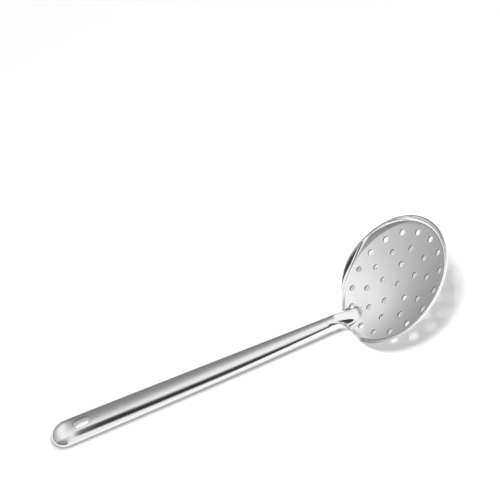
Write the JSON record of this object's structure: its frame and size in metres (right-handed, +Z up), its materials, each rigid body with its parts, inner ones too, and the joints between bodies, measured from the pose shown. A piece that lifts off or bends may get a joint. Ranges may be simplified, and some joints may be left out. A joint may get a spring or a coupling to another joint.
{
  "type": "perforated skimmer",
  "caption": "Stainless kitchen skimmer: shallow round perforated dish with a turned-up rim, tilted up on a long channel handle with a hanging slot, for lifting food out of liquid.",
  "frame": {"origin": "on the table under the middle of the skimmer's whole length", "axes": "+X along the handle towards the dish, +Z up with the handle's edges lying on the table"},
  "size_m": [0.3164, 0.0994, 0.046],
  "materials": {
    "head_steel": "satin stainless steel",
    "handle_steel": "polished stainless steel",
    "weld_steel": "dull weld metal"
  },
  "bodies": {
    "root": {"skimmer_head": "head_steel", "handle": "handle_steel", "plug_weld_1": "weld_steel", "plug_weld_2": "weld_steel"}
  },
  "joints": []
}
